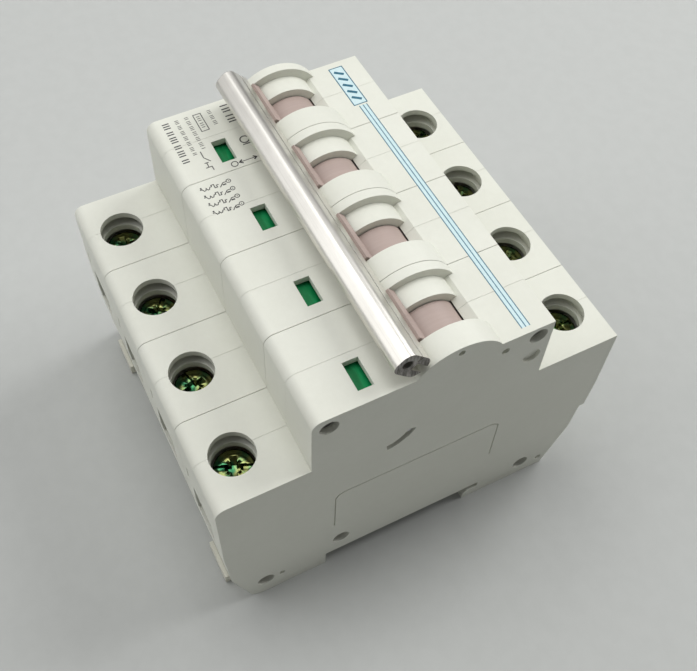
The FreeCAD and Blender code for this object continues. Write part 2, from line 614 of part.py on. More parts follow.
def make_coil(pole):
    """Winding of the magnetic release: rings of round wire on a thin tube."""
    x = f"{pole_x(pole)} + coil_x"
    turns = 6
    first = "coil_start + coil_lead + coil_turn_rad"
    room = "(coil_end - coil_start - 2 * coil_lead - 2 * coil_turn_rad)"
    pieces = []
    for k in range(turns):
        y = f"{first} + {room} * {k} / {turns - 1}"
        pieces.append(ring_y("Turn", x, y, "coil_z", "coil_mid_rad", "coil_turn_rad"))
    outer = cylinder("Wrap", "y", x, first, "coil_z", "coil_mid_rad + coil_wrap", room)
    inner = cylinder("WrapBore", "y", x, "coil_start", "coil_z", "coil_mid_rad - coil_wrap",
                     "coil_end - coil_start")
    pieces.append(cut("WrapTube", outer, inner))
    return fuse("Coil", pieces)


def make_bobbin(pole):
    x = f"{pole_x(pole)} + coil_x"
    tube = cylinder("Tube", "y", x, "coil_start", "coil_z", "coil_mid_rad - coil_turn_rad - 0.05",
                    "coil_end - coil_start")
    near = cylinder("Flange", "y", x, "coil_start", "coil_z", "bobbin_rad", "coil_flange")
    far = cylinder("Flange", "y", x, "coil_end - coil_flange", "coil_z", "bobbin_rad", "coil_flange")
    bore = cylinder("Bore", "y", x, "coil_start - 1", "coil_z", "bobbin_bore", "coil_end - coil_start + 2")
    return cut("Bobbin", fuse("Spool", [tube, near, far]), bore)


def make_yoke(pole):
    """Steel frame round the coil, with a hole for the push pin."""
    x = f"{pole_x(pole)} - yoke_side"
    near = box("Near", x, "coil_start - yoke_plate", "yoke_foot", "yoke_wide", "yoke_plate", "yoke_tall")
    far = box("Far", x, "coil_end", "yoke_foot", "yoke_wide", "yoke_plate", "yoke_tall")
    sole = box("Sole", x, "coil_start - yoke_plate", "yoke_foot", "yoke_wide",
               "coil_end - coil_start + 2 * yoke_plate", "yoke_plate")
    hole = cylinder("Hole", "y", f"{pole_x(pole)} + coil_x", "coil_start - 3", "coil_z",
                    "push_rad + 0.3", "5")
    return cut("Yoke", fuse("Frame", [near, far, sole]), hole)


def make_plunger(pole):
    x = f"{pole_x(pole)} + coil_x"
    core = cylinder("Core", "y", x, "coil_start + plunger_start", "coil_z", "plunger_rad", "plunger_long")
    push = cylinder("Push", "y", x, "push_tip", "coil_z", "push_rad",
                    "coil_start + plunger_start - push_tip + 0.5")
    return fuse("Plunger", [core, push])


def make_bimetal(pole):
    return box("Bimetal", f"{pole_x(pole)} - bimetal_half", "bimetal_y - bimetal_thick / 2", "bimetal_foot",
               "2 * bimetal_half", "bimetal_thick", "bimetal_top - bimetal_foot")


def make_braid(pole):
    """Flexible braid between the release strip and the contact arm."""
    x = f"{pole_x(pole)} - braid_side"
    face = "bimetal_y + bimetal_thick / 2"
    tail = box("Tail", x, face, "braid_z", "braid_reach", "braid_wide", "braid_thick")
    run = box("Run", x, face, "braid_z", "braid_wide", "braid_long", "braid_thick")
    return fuse("Braid", [tail, run])


def make_arc_chute(pole):
    """Splitter plates and the two fibre cheeks that hold them."""
    middle = pole_x(pole)
    plates = []
    for k in range(SIZES["plate_count"]):
        y = f"plate_first + plate_pitch * {k}"
        plates.append(box("Splitter", f"{middle} - plate_half", y, "chute_floor", "2 * plate_half", "plate_thick",
                          "chute_top - chute_floor"))
    length = "plate_pitch * (plate_count - 1) + plate_thick"
    cheeks = [box("Cheek", f"{middle} {side}", "plate_first", "chute_floor", "cheek_thick", length,
                  "chute_top - chute_floor") for side in ("- cheek_inner - cheek_thick", "+ cheek_inner")]
    return plates, cheeks


# ---------------------------------------------------------------- terminals

def make_screw(node, pole, screw_y):
    """Captive terminal screw with a combined cross and slot recess."""
    x, y = f"{pole_x(pole)} + screw_x", screw_y
    head = cylinder("Head", "z", x, y, "head_top - head_thick", "head_rad", "head_thick")
    shank = cylinder("Shank", "z", x, y, "shank_foot", "shank_rad", "head_top - shank_foot - 1")
    slot = box("Slot", f"{x} - head_rad", f"{y} - recess_half", "head_top - recess_slot_deep",
               "2 * head_rad", "2 * recess_half", "recess_slot_deep + 1")
    cross = box("Cross", f"{x} - recess_half", f"{y} - recess_cross_half", "head_top - recess_cross_deep",
                "2 * recess_half", "2 * recess_cross_half", "recess_cross_deep + 1")
    return keep(cut(node, fuse("Screw", [head, shank]), fuse("Recess", [slot, cross])), node)


def make_screw_guide(pole, side):
    """Plate held between the two shells over a screw's head, with a hole for the driver."""
    start = "-guide_out" if side == "load" else "guide_in"
    plate = box("GuidePlate", f"{pole_x(pole)} - pole_width / 2 + side_wall", start, "guide_foot",
                "pole_width - 2 * side_wall", "guide_out - guide_in", "guide_thick")
    hole = cylinder("GuideHole", "z", f"{pole_x(pole)} + screw_x", f"{side}_screw_y", "guide_foot - 1",
                    "well_rad - guide_gap", "guide_thick + 2")
    return cut("ScrewGuide", plate, hole)


def make_cage(node, pole, screw_y):
    """Clamp cage: a square steel ring that the screw draws up against the strap."""
    body = new_body(node)
    ring = rectangle("-cage_half_x", "cage_foot", "cage_half_x", "cage_top")
    room = rectangle("-cage_half_x + cage_wall", "cage_foot + cage_wall", "cage_half_x - cage_wall",
                     "cage_top - cage_wall - 0.3")
    sketch = new_sketch(body, "XZ_Plane", "-cage_half_y")
    add_outline(sketch, ring)
    add_outline(sketch, room)
    extrude(body, "Pad", sketch, "2 * cage_half_y")
    pocket_down(body, "cage_top", "cage_wall + 0.3", circles=[("0", "0", "shank_rad + running")])
    place(body, f"{pole_x(pole)} + screw_x", screw_y)
    return keep(body, node)


# ---------------------------------------------------------------- rail clips, pins, rivets, springs

def make_clip(node, pole):
    """Rail clip with a pull tab at its outer end and a bevelled latch tip."""
    body = new_body(node)
    top, tab_top = "clip_foot + clip_thick", "clip_foot + clip_tab_thick"
    side = [("clip_outer", "clip_foot"), ("clip_tip - 0.6", "clip_foot"), ("clip_tip", "clip_foot + 0.6"),
            ("clip_tip", "clip_foot + 1.5"), ("clip_tip - 1.2", top), ("clip_outer + 5", top),
            ("clip_outer + 4.4", tab_top), ("clip_outer + 0.8", tab_top),
            ("clip_outer + 0.8", "clip_foot + 2.5"), ("clip_outer", "clip_foot + 2.5")]
    pad_x(body, "-clip_half", "clip_half", [side])
    pocket_down(body, top, "8", [rectangle("-bay_half", "bay_load", "bay_half", "bay_line")])
    pocket_down(body, top, "8", [rectangle("-tab_slot_half", "clip_outer + tab_slot_from", "tab_slot_half",
                                           "clip_outer + tab_slot_to")])
    place(body, pole_x(pole))
    return keep(body, node)


def make_clip_spring(pole):
    """Coil spring between the clip and the stop in its channel."""
    x, z = pole_x(pole), "clip_foot + clip_spring_z"
    turns = 7
    pieces = [ring_y("Turn", x, f"clip_spring_y + {k} * clip_spring_long / {turns - 1}", z,
                     "clip_spring_rad", "clip_spring_wire") for k in range(turns)]
    core = cylinder("Core", "y", x, "clip_spring_y", z, "clip_wrap_out", "clip_spring_long")
    bore = cylinder("CoreBore", "y", x, "clip_spring_y - 1", z, "clip_wrap_in", "clip_spring_long + 2")
    pieces.append(cut("Wrap", core, bore))
    return fuse("ClipSpring", pieces)


def make_pivot_pins(pole):
    middle = pole_x(pole)
    spots = (("pivot_y", "pivot_z", "axle_rad"), ("arm_pivot_y", "arm_pivot_z", "pin_rad"),
             ("trip_y", "trip_z", "pin_rad"))
    pins = [cylinder("PivotPin", "x", f"{middle} - pin_half", y, z, radius, "2 * pin_half") for y, z, radius in spots]
    pins.append(cylinder("FlagPin", "x", f"{middle} + flag_pin_x", "flag_y", "flag_z", "pin_rad",
                         "flag_pin_long"))
    return pins


def make_rivets():
    """Hollow rivets through all eight shells, sunk below both outer sides."""
    rivets = []
    start = "-2 * pole_pitch + rivet_sink"
    length = "4 * pole_pitch - 2 * rivet_sink"
    for y, z in RIVETS.values():
        shank = cylinder("RivetShank", "x", start, str(y), str(z), "rivet_rad", length)
        bore = cylinder("RivetBore", "x", f"{start} - 1", str(y), str(z), "rivet_bore", f"{length} + 2")
        rivets.append(cut("Rivet", shank, bore))
    return group("rivets", rivets)


def make_torsion_spring(name, pole, start, y, z, inner, wide, leg_y, leg_z):
    """Torsion spring on a pin: a close coil with one straight leg."""
    x = f"{pole_x(pole)} + {start}"
    outer = cylinder("Coil", "x", x, y, z, f"{inner} + torsion_wire", wide)
    bore = cylinder("CoilBore", "x", f"{x} - 1", y, z, inner, f"{wide} + 2")
    leg = box("Leg", x, f"{y} + {leg_y}", f"{z} + {leg_z}", "torsion_wire", "torsion_wire", "torsion_leg")
    return fuse(name, [cut("CoilTube", outer, bore), leg])


# ---------------------------------------------------------------- the assembly

for pole in POLES:
    make_shells(pole)
    make_toggle(pole)
    make_contact_arm(pole)
    make_flag(pole)
    for side in ("line", "load"):
        make_screw(f"{side}_screw_{pole}", pole, f"{side}_screw_y")
        make_cage(f"{side}_cage_{pole}", pole, f"{side}_screw_y")
group("screw_guides", [make_screw_guide(pole, side) for pole in POLES for side in ("line", "load")])
make_tie_bar()
make_toggle_links()
make_trip_levers()
make_trip_pin()
make_rivets()
make_clip("din_clip_1", 1)
make_clip("din_clip_2", 4)
group("clip_springs", [make_clip_spring(pole) for pole in (1, 4)])
group("pivot_pins", [pin for pole in POLES for pin in make_pivot_pins(pole)])
group("magnet_plungers", [make_plunger(pole) for pole in POLES])
group("trip_coils", [make_coil(pole) for pole in POLES])
group("coil_bobbins", [make_bobbin(pole) for pole in POLES])
group("coil_yokes", [make_yoke(pole) for pole in POLES])
group("bimetals", [make_bimetal(pole) for pole in POLES])
group("braids", [make_braid(pole) for pole in POLES])
chutes = [make_arc_chute(pole) for pole in POLES]
group("arc_plates", [plate for plates, _ in chutes for plate in plates])
group("arc_frames", [cheek for _, cheeks in chutes for cheek in cheeks])
group("line_straps", [make_strap(pole, "line") for pole in POLES])
group("load_straps", [make_strap(pole, "load") for pole in POLES])
group("fixed_contacts", [make_fixed_contact(pole) for pole in POLES])
group("contact_springs", [make_torsion_spring("ContactSpring", pole, "(-4.3)", "arm_pivot_y", "arm_pivot_z",
                                              "1.0", "1.8", "1.1", "0") for pole in POLES])
group("toggle_springs", [make_torsion_spring("ToggleSpring", pole, "4.3", "pivot_y", "pivot_z",
                                             "1.2", "2.4", "1.3", "(-5)") for pole in POLES])
doc.recompute()

broken = [item.Label for item in doc.Objects if "Invalid" in item.State or "Error" in item.State]
if broken:
    raise RuntimeError(f"these objects failed: {broken}")

os.makedirs("parts", exist_ok=True)
for node, thing in nodes.items():
    shape = thing.Shape
    if shape.isNull() or not shape.isValid():
        raise RuntimeError(f"{node} has no valid shape")
    shape.exportStep(f"parts/{node}.step")
    box_of = shape.optimalBoundingBox(False)
    print(f"{node}: {len(shape.Solids)} solid(s), {shape.Volume:.1f} mm3, "
          f"x {box_of.XMin:.2f} {box_of.XMax:.2f} y {box_of.YMin:.2f} {box_of.YMax:.2f} "
          f"z {box_of.ZMin:.2f} {box_of.ZMax:.2f}")
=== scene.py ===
import json
import math

import bmesh
import bpy
from mathutils import Matrix, Vector

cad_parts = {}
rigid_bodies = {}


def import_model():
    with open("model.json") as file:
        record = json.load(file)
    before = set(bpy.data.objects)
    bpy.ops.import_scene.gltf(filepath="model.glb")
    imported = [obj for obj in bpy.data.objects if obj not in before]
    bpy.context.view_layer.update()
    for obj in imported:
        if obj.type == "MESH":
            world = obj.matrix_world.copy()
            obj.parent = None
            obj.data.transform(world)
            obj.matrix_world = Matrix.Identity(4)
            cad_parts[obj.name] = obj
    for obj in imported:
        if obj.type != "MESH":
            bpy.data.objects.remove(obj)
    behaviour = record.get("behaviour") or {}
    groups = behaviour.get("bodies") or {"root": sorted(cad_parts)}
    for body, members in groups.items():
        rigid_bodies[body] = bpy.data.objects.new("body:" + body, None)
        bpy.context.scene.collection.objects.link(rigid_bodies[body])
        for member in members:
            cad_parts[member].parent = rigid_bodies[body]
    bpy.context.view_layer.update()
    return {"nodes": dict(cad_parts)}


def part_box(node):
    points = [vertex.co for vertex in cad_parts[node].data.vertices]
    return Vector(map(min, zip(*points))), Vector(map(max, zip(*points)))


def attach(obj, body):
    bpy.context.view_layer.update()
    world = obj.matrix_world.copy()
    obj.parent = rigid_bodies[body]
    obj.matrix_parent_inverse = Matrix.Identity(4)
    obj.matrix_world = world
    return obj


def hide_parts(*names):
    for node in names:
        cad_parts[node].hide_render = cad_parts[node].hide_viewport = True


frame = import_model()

# ------------------------------------------------------------------ moulded shells
# Every pole is a base and a cover, moulded in warm off-white glass-filled polyamide,
# with guide plates of the same plastic over its screws. The tool leaves a fine
# spark-eroded grain, the melt faint cloudy shading, and handling rubs the edges smooth.

nodes = frame["nodes"]
POLES = (1, 2, 3, 4)
MM = 0.001


class Wire:
    """A value or colour inside a material. Sums written with wires become Math nodes."""

    def __init__(self, tree, socket):
        self.tree = tree
        self.socket = socket

    def node(self, kind, settings=None, out=0, **sockets):
        """Any other node: its settings first, then the values or links of its sockets."""
        made = self.tree.nodes.new("ShaderNode" + kind)
        for name, value in (settings or {}).items():
            setattr(made, name, value)
        for name, value in sockets.items():
            taken = made.inputs[int(name[1:])] if name[0] == "i" and name[1:].isdigit() else \
                made.inputs[name.replace("_", " ")]
            if isinstance(value, Wire):
                self.tree.links.new(value.socket, taken)
            else:
                taken.default_value = value
        return Wire(self.tree, made.outputs[out] if made.outputs else None)

    def maths(self, operation, first, second=0.0):
        return self.node("Math", {"operation": operation}, i0=first, i1=second)

    def __add__(self, other):
        return self.maths("ADD", self, other)

    def __radd__(self, other):
        return self.maths("ADD", other, self)

    def __sub__(self, other):
        return self.maths("SUBTRACT", self, other)

    def __rsub__(self, other):
        return self.maths("SUBTRACT", other, self)

    def __mul__(self, other):
        return self.maths("MULTIPLY", self, other)

    def __rmul__(self, other):
        return self.maths("MULTIPLY", other, self)

    def __gt__(self, other):
        return self.maths("GREATER_THAN", self, other)

    def blend(self, low, high):
        """The colour low where this is 0, high where it is 1."""
        return self.node("Mix", {"data_type": "RGBA"}, out=2, i0=self, i6=low, i7=high)

    def ramp(self, start, end):
        """0 below start, 1 above end, and smooth between them."""
        return self.node("MapRange", {"interpolation_type": "SMOOTHSTEP"}, Value=self,
                         From_Min=start, From_Max=end)


def new_material(name):
    """An empty material, and the wire of the place on the surface, in metres."""
    material = bpy.data.materials.new(name)
    material.use_nodes = True
    material.node_tree.nodes.clear()
    start = Wire(material.node_tree, None)
    return material, start.node("TexCoord", out="Object")


def stretched(place, along):
    """Coordinates squeezed by a factor along each axis, for grain that runs one way."""
    return place.node("VectorMath", {"operation": "MULTIPLY"}, i0=place, i1=along)


def noise(place, scale, detail=3.0, roughness=0.55):
    """A cloudy value between 0 and 1, finer where the scale is higher."""
    return place.node("TexNoise", Vector=place, Scale=scale, Detail=detail, Roughness=roughness)


def bump(height, depth, strength=1.0, **more):
    """A normal that a height value tilts, with the depth in metres."""
    return height.node("Bump", Height=height, Distance=depth, Strength=strength, **more)


def finish(place, material, **sockets):
    """Ends a material in one Principled shader."""
    shader = place.node("BsdfPrincipled", **sockets)
    place.node("OutputMaterial", i0=shader)
    return material


def dress(material, *names):
    """Gives CAD nodes a finish in place of the plain one that they came with."""
    for name in names:
        data = nodes[name].data
        data.materials.clear()
        data.materials.append(material)


def moulded(name, tone, shade, rough, grain_depth, soft_edge):
    """Moulded plastic: cloudy tone, spark-eroded grain, rubbed patches and soft edges."""
    material, place = new_material(name)
    cloud = noise(place, 38.0, 4.0)
    fleck = noise(place, 900.0, 2.0)
    rubbed = noise(place, 120.0, 5.0, 0.65).ramp(0.52, 0.74)
    grain = noise(place, 2600.0, 2.0, 0.6)
    colour = (cloud * 0.75 + fleck * 0.25).ramp(0.3, 0.72).blend(shade, tone)
    rounded = place.node("Bevel", {"samples": 4}, Radius=soft_edge)
    height = grain * 0.7 + noise(place, 700.0, 2.0) * 0.5
    return finish(place, material, Base_Color=colour, Roughness=rough + fleck * 0.1 - rubbed * 0.07,
                  Specular_IOR_Level=0.42, Normal=bump(height, grain_depth, 0.6, Normal=rounded))


CASE_TONE = (0.738, 0.746, 0.668, 1)
CASE_SHADE = (0.694, 0.700, 0.620, 1)
case_plastic = moulded("case_plastic", CASE_TONE, CASE_SHADE, 0.44, 0.012 * MM, 0.10 * MM)
shells = [f"case_{half}_{pole}" for pole in POLES for half in ("base", "cover")]
dress(case_plastic, *shells, "screw_guides")

# ------------------------------------------------------------------ rail clips
# Two clips are moulded in the same plastic, from another batch, so they are a shade
# yellower. Sliding on the rail has polished their faces.

clip_plastic = moulded("clip_plastic", (0.72, 0.71, 0.62, 1), (0.66, 0.65, 0.56, 1), 0.38,
                       0.008 * MM, 0.2 * MM)
dress(clip_plastic, "din_clip_1", "din_clip_2")

# ------------------------------------------------------------------ handles
# The four handles are moulded in pinkish grey plastic. The barrel turns against the
# case, so fine rings are rubbed round it, and dust sits in them.

handle_plastic, spot = new_material("handle_plastic")
handle_cloud = noise(spot, 60.0, 4.0)
handle_grain = noise(spot, 2400.0, 2.0)
handle_rings = noise(stretched(spot, (1.0, 0.04, 0.04)), 1500.0, 3.0)
handle_colour = (handle_cloud * 0.6 + handle_rings * 0.4).ramp(0.3, 0.7).blend(
    (0.385, 0.303, 0.272, 1), (0.445, 0.352, 0.316, 1))
finish(spot, handle_plastic, Base_Color=handle_colour, Roughness=0.36 + handle_rings * 0.16,
       Specular_IOR_Level=0.45,
       Normal=bump(handle_grain * 0.5 + handle_rings, 0.010 * MM, 0.6,
                   Normal=spot.node("Bevel", {"samples": 4}, Radius=0.25 * MM)))
dress(handle_plastic, *[f"toggle_{pole}" for pole in POLES])

# ------------------------------------------------------------------ tie bar
# The bar is an aluminium extrusion, sawn at both ends. Die lines run along it, with
# a few deeper scratches. The sawn ends are rough, and their colour is painted much darker
# as painted shade on the end faces.

bar_low, bar_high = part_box("tie_bar")
bar_middle = (bar_low.x + bar_high.x) / 2
bar_reach = (bar_high.x - bar_low.x) / 2 - 0.03 * MM
bar_metal, spot = new_material("bar_aluminium")
along = spot.node("SeparateXYZ", Vector=spot)
sawn = spot.maths("ABSOLUTE", along - bar_middle) > bar_reach
die_lines = noise(stretched(spot, (0.012, 1.0, 1.0)), 5200.0, 4.0, 0.6)
scratches = noise(stretched(spot, (0.02, 1.0, 1.0)), 1100.0, 3.0).ramp(0.60, 0.72)
bloom = noise(spot, 90.0, 4.0)
saw_marks = noise(stretched(spot, (1.0, 1.0, 0.12)), 2600.0, 4.0, 0.7)
DRAWN_DARK, DRAWN_PALE = (0.70, 0.68, 0.63, 1), (0.83, 0.81, 0.76, 1)
drawn = (die_lines * 0.5 + bloom * 0.5).ramp(0.3, 0.7).blend(DRAWN_DARK, DRAWN_PALE)
# painted shade: the sawn end colour is much darker than the metal, for the shade on the end faces; the saw
# marks in it are real
sawn_end_marks_painted_shade = saw_marks.ramp(0.35, 0.70).blend((0.13, 0.12, 0.11, 1), (0.46, 0.44, 0.42, 1))
finish(spot, bar_metal, Metallic=1.0, Base_Color=sawn.blend(drawn, sawn_end_marks_painted_shade),
       Roughness=0.25 + die_lines * 0.13 + bloom * 0.05 + sawn * 0.25,
       Normal=bump(die_lines * 0.5 + scratches * 0.6 + sawn * saw_marks * 2.0, 0.010 * MM, 0.5,
                   Normal=spot.node("Bevel", {"samples": 4}, Radius=0.12 * MM)))
dress(bar_metal, "tie_bar")

# ------------------------------------------------------------------ indicator flags
# Each flag is moulded in two colours: green shows through the window when the contacts
# are open, red when they are closed. The face is smooth, with fine moulding streaks.

FLAG_PIVOT_Y = -13.0 * MM
FLAG_PIVOT_Z = 44.5 * MM
COLOUR_SPLIT = math.radians(91.0)
flag_plastic, spot = new_material("indicator_plastic")
place_y, place_z = [spot.node("SeparateXYZ", out=axis, Vector=spot) for axis in (1, 2)]
turn = spot.maths("ARCTAN2", place_z - FLAG_PIVOT_Z, place_y - FLAG_PIVOT_Y)
streaks = noise(stretched(spot, (0.25, 1.0, 1.0)), 900.0, 4.0)
green = streaks.ramp(0.3, 0.75).blend((0.002, 0.175, 0.050, 1), (0.008, 0.290, 0.095, 1))
red = streaks.ramp(0.3, 0.75).blend((0.48, 0.012, 0.010, 1), (0.62, 0.025, 0.018, 1))
finish(spot, flag_plastic, Base_Color=(turn > COLOUR_SPLIT).blend(green, red),
       Roughness=0.30 + streaks * 0.16, Specular_IOR_Level=0.3,
       Normal=bump(streaks, 0.012 * MM, 0.5))
dress(flag_plastic, *[f"indicator_flag_{pole}" for pole in POLES])

# ------------------------------------------------------------------ terminal screws
# M5 clamping screws with a chamfered cheese head, a cross recess and a slot. They are
# zinc plated and passivated yellow, which shifts to green where the film is thicker.
# Their colours are painted far darker than the cage zinc, as painted shade in the wells.


def passivated(name, warm, cool, dark, rough):
    """Passivated zinc: colour drifts with the film, and the metal shows fine turning."""
    material, place = new_material(name)
    film = noise(place, 420.0, 3.0)
    stain = noise(place, 1300.0, 4.0).ramp(0.55, 0.8)
    colour = stain.blend(film.ramp(0.38, 0.62).blend(warm, cool), dark)
    return finish(place, material, Base_Color=colour, Metallic=1.0,
                  Roughness=rough + film * 0.12 + stain * 0.15,
                  Normal=bump(noise(place, 3000.0, 2.0), 0.006 * MM, 0.5))


# painted shade: these zinc colours are kept dark for the shade down in the deep screw wells
screw_zinc_painted_shade = passivated("screw_zinc_painted_shade", (0.20, 0.21, 0.075, 1), (0.03, 0.13, 0.06, 1),
                        (0.03, 0.04, 0.02, 1), 0.12)
dress(screw_zinc_painted_shade, *[f"{side}_screw_{pole}" for side in ("line", "load") for pole in POLES])


def joined(name, mesh_parts):
    """One mesh object out of bmesh parts that are already in place."""
    data = bpy.data.meshes.new(name)
    whole = bmesh.new()
    for part in mesh_parts:
        part.to_mesh(data)
        part.free()
        whole.from_mesh(data)
    whole.to_mesh(data)
    whole.free()
    made = bpy.data.objects.new(name, data)
    bpy.context.collection.objects.link(made)
    return made


def lathe(profile, sides):
    """A closed turned solid about Z from (radius, height) pairs, bottom first."""
    turned = bmesh.new()
    rings = []
    for radius, height in profile:
        if radius == 0:
            rings.append([turned.verts.new((0, 0, height))] * sides)
            continue
        rings.append([turned.verts.new((radius * math.cos(math.tau * k / sides),
                                        radius * math.sin(math.tau * k / sides), height))
                      for k in range(sides)])
    for low, high in zip(rings, rings[1:]):
        for k in range(sides):
            nxt = (k + 1) % sides
            corners = [low[k], low[nxt], high[nxt], high[k]]
            unique = list(dict.fromkeys(corners))
            if len(unique) > 2:
                turned.faces.new(unique)
    bmesh.ops.recalc_face_normals(turned, faces=turned.faces)
    return turned


def tapered_blade(half_long, half_wide, foot_share, low, high):
    """A wedge-shaped cutter that is smaller at its foot."""
    blade = bmesh.new()
    corners = [(-1, -1), (1, -1), (1, 1), (-1, 1)]
    foot = [blade.verts.new((x * half_long * foot_share, y * half_wide * 0.7, low)) for x, y in corners]
    top = [blade.verts.new((x * half_long, y * half_wide, high)) for x, y in corners]
    blade.faces.new(foot[::-1])
    blade.faces.new(top)
    for k in range(4):
        blade.faces.new((foot[k], foot[(k + 1) % 4], top[(k + 1) % 4], top[k]))
    return blade


HEAD_THICK, SHANK, THREAD_PITCH = 1.6, 2.5, 0.8
THREAD_ROOT, THREAD_CREST = SHANK - 0.38, SHANK - 0.02
OVER_HEAD = 0.2
# each blade that cuts the recess: half length, half width, share at its foot, depth, turn
BLADES = [(2.35, 0.62, 0.45, 1.5, 0), (2.35, 0.62, 0.45, 1.5, 90), (1.9, 0.30, 0.35, 1.0, 45),
          (1.9, 0.30, 0.35, 1.0, 135), (5.0, 0.55, 1.0, 0.8, 0)]


def screw_mesh():
    """Shank with thread crests, chamfered head, then the recess cut out of it."""
    low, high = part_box("line_screw_1")
    foot, head_top, head = low.z / MM, high.z / MM, (high.x - low.x) / 2 / MM
    head_low = head_top - HEAD_THICK
    profile = [(0, foot), (SHANK - 0.6, foot), (SHANK - 0.35, foot + 0.3)]
    height = foot + 0.5
    while height + THREAD_PITCH < head_low - 0.4:
        profile += [(THREAD_ROOT, height), (THREAD_CREST, height + THREAD_PITCH / 2)]
        height += THREAD_PITCH
    profile += [(THREAD_ROOT, head_low - 0.3), (THREAD_ROOT, head_low), (head - 0.1, head_low),
                (head, head_low + 0.15), (head, head_top - 0.5), (head - 0.16, head_top - 0.2),
                (head - 0.55, head_top - 0.06), (head - 1.4, head_top), (0, head_top)]
    body = joined("screw_body", [lathe([(r * MM, z * MM) for r, z in profile], 56)])
    cutters = []
    for half_long, half_wide, foot_share, depth, turned in BLADES:
        blade = tapered_blade(half_long * MM, half_wide * MM, foot_share, (head_top - depth) * MM,
                              (head_top + OVER_HEAD) * MM)
        spin = Matrix.Rotation(math.radians(turned), 3, "Z")
        bmesh.ops.rotate(blade, verts=blade.verts, matrix=spin)
        cutters.append(blade)
    for number, cutter in enumerate(cutters):
        tool = joined(f"recess_{number}", [cutter])
        trim = body.modifiers.new("recess", "BOOLEAN")
        trim.operation, trim.solver, trim.object = "DIFFERENCE", "EXACT", tool
    soften = body.modifiers.new("edge", "BEVEL")
    soften.width, soften.segments, soften.limit_method = 0.06 * MM, 2, "ANGLE"
    soften.angle_limit = math.radians(38)
    shaped = bpy.data.meshes.new_from_object(body.evaluated_get(bpy.context.evaluated_depsgraph_get()))
    for spare in [body, *[item for item in bpy.data.objects if item.name.startswith("recess_")]]:
        bpy.data.objects.remove(spare)
    return shaped


def smooth_by_angle(data, degrees):
    """Smooth shading with creases kept where faces meet at more than an angle."""
    edges = bmesh.new()
    edges.from_mesh(data)
    for face in edges.faces:
        face.smooth = True
    for edge in edges.edges:
        if len(edge.link_faces) == 2:
            edge.smooth = edge.calc_face_angle(0) < math.radians(degrees)
    edges.to_mesh(data)
    edges.free()


def centre_of(name):
    """Middle of a CAD node's box."""
    low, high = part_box(name)
    return (Vector(low) + Vector(high)) / 2


screw_shape = screw_mesh()
smooth_by_angle(screw_shape, 32)
screw_shape.materials.clear()
screw_shape.materials.append(screw_zinc_painted_shade)
for pole in POLES:
    for side in ("line", "load"):
        replaced = f"{side}_screw_{pole}"
        middle = centre_of(replaced)
        screw = bpy.data.objects.new(f"{side}_clamp_screw_{pole}", screw_shape.copy())
        bpy.context.collection.objects.link(screw)
        angle = math.radians(37 + 53 * pole + (20 if side == "line" else 0))  # no two alike
        screw.data.transform(Matrix.Rotation(angle, 4, "Z"))
        screw.location = (middle.x, middle.y, 0)
        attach(screw, f"{side}_screw_body_{pole}")
        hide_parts(replaced)

# ------------------------------------------------------------------ clamps and rivets
# The clamp cages are pressed from strip and folded, zinc plated like the screws. The
# rivets are hollow steel, rolled over at both ends and dull from handling.

cage_zinc = passivated("cage_zinc", (0.66, 0.64, 0.46, 1), (0.50, 0.52, 0.40, 1),
                       (0.22, 0.22, 0.17, 1), 0.3)
dress(cage_zinc, *[f"{side}_cage_{pole}" for side in ("line", "load") for pole in POLES])


def drawn_metal(name, pale, dark, rough, along, fine, scratch_depth):
    """Metal with lines along one axis, a cloudy tone and a few scratches."""
    material, place = new_material(name)
    lines = noise(stretched(place, along), fine, 4.0, 0.6)
    wide_lines = noise(stretched(place, along), fine * 0.22, 3.0)
    cloud = noise(place, 90.0, 4.0)
    colour = (lines * 0.5 + cloud * 0.5).ramp(0.3, 0.7).blend(dark, pale)
    return finish(place, material, Base_Color=colour, Metallic=1.0,
                  Roughness=rough + lines * 0.14 + cloud * 0.05,
                  Normal=bump(lines * 0.6 + wide_lines, scratch_depth, 0.5,
                              Normal=place.node("Bevel", {"samples": 4}, Radius=0.12 * MM)))


rivet_steel = drawn_metal("rivet_steel", (0.30, 0.29, 0.27, 1), (0.13, 0.125, 0.12, 1), 0.42,
                          (0.3, 1.0, 1.0), 2600.0, 0.010 * MM)
dress(rivet_steel, "rivets")

# ------------------------------------------------------------------ switching and trip mechanism
# Ground pins, spring wire, the pressed iron of the magnet and arc plates, copper and
# fibre parts: all of it is inside the case, and shows only through the openings.

pin_steel = drawn_metal("pin_steel", (0.72, 0.72, 0.72, 1), (0.55, 0.55, 0.56, 1), 0.2,
                        (0.05, 1.0, 1.0), 4200.0, 0.004 * MM)
dress(pin_steel, "pivot_pins", "trip_pin", "toggle_links", "clip_springs", "contact_springs",
      "toggle_springs")
pressed_iron = drawn_metal("pressed_iron", (0.58, 0.59, 0.60, 1), (0.40, 0.41, 0.42, 1), 0.34,
                           (0.2, 0.2, 1.0), 1800.0, 0.010 * MM)
dress(pressed_iron, "magnet_plungers", "coil_yokes", "arc_plates")
copper = drawn_metal("strip_copper", (0.80, 0.42, 0.27, 1), (0.55, 0.25, 0.16, 1), 0.28,
                     (1.0, 0.08, 1.0), 2400.0, 0.006 * MM)
dress(copper, "line_straps", "load_straps", "fixed_contacts", "braids",
      *[f"contact_arm_{pole}" for pole in POLES])
bimetal_strip = drawn_metal("bimetal_strip", (0.62, 0.58, 0.50, 1), (0.47, 0.43, 0.37, 1), 0.3,
                            (1.0, 1.0, 0.05), 2600.0, 0.005 * MM)
dress(bimetal_strip, "bimetals")
winding_wire = drawn_metal("enamelled_wire", (0.52, 0.17, 0.06, 1), (0.33, 0.09, 0.03, 1), 0.16,
                           (1.0, 0.1, 1.0), 1500.0, 0.004 * MM)
dress(winding_wire, "trip_coils")
